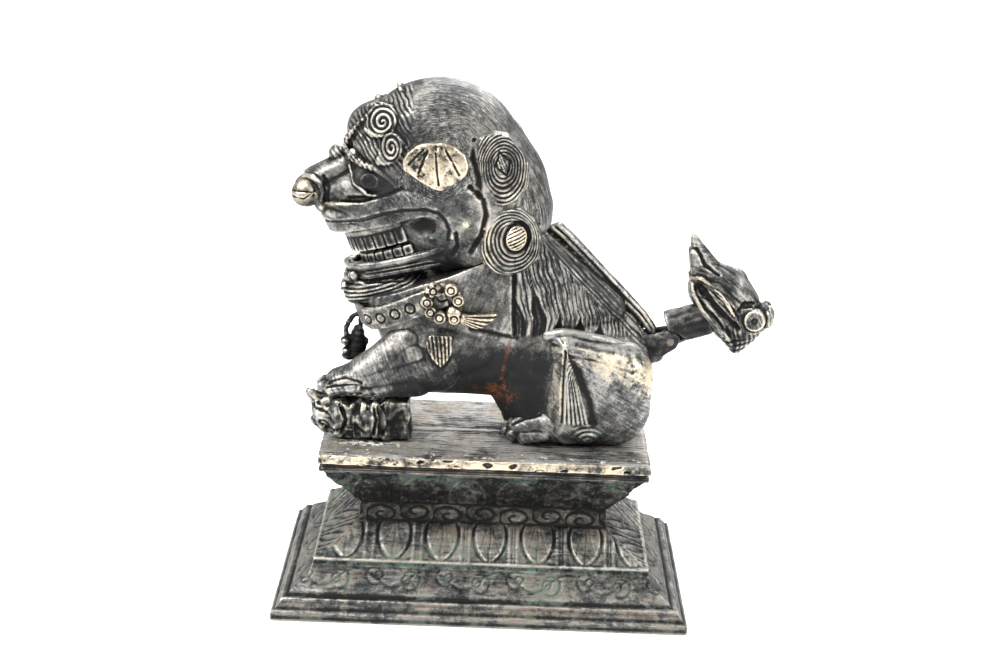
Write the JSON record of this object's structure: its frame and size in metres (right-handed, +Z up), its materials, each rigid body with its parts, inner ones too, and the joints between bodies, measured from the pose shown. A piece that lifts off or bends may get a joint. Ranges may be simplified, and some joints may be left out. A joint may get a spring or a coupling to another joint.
{
  "type": "guardian lion statue",
  "caption": "Seated bronze guardian lion with a cub under its left paw, on a tiered lotus plinth; the plumed tail tilts on a cross pin at the rump.",
  "frame": {"origin": "middle of the object's bounding box in X and Y, on the surface that the plinth stands on", "axes": "+Z up, the lion looks towards -X and its left side faces -Y"},
  "size_m": [0.1616, 0.0872, 0.1714],
  "materials": {
    "figure_bronze": "dark patinated bronze with chased hair lines, rubbed to yellow brass on its high points",
    "plinth_bronze": "dark patinated bronze with brass edges and green verdigris in its engraving",
    "worn_brass": "brass rubbed bright by handling",
    "iron_fixings": "dull dark iron"
  },
  "bodies": {
    "statue": {"plinth": "plinth_bronze", "slab": "plinth_bronze", "front_screw": "iron_fixings", "front_washer": "iron_fixings", "rear_screw": "iron_fixings", "rear_washer": "iron_fixings", "torso_shell": "figure_bronze", "head_shell": "figure_bronze", "nose": "worn_brass", "upper_teeth": "figure_bronze", "lower_teeth": "figure_bronze", "lower_jaw": "figure_bronze", "collar": "figure_bronze", "chest_pendant": "figure_bronze", "left_foreleg": "figure_bronze", "right_foreleg": "figure_bronze", "cub": "figure_bronze", "left_eye": "figure_bronze", "left_ear": "worn_brass", "left_upper_curl": "figure_bronze", "left_lower_curl": "figure_bronze", "left_ornament": "worn_brass", "left_hind_leg": "figure_bronze", "right_eye": "figure_bronze", "right_ear": "worn_brass", "right_upper_curl": "figure_bronze", "right_lower_curl": "figure_bronze", "right_ornament": "worn_brass", "right_hind_leg": "figure_bronze", "tail_lug": "figure_bronze", "tail_pin": "iron_fixings"},
    "tail": {"tail_stem": "figure_bronze", "tail_plume": "figure_bronze"}
  },
  "joints": [
    {"name": "tail_pivot", "type": "hinge", "parent": "statue", "child": "tail", "pos_m": [0.0462, 0, 0.0874], "axis": [0, -1, 0], "range_deg": [-4, 14]}
  ]
}
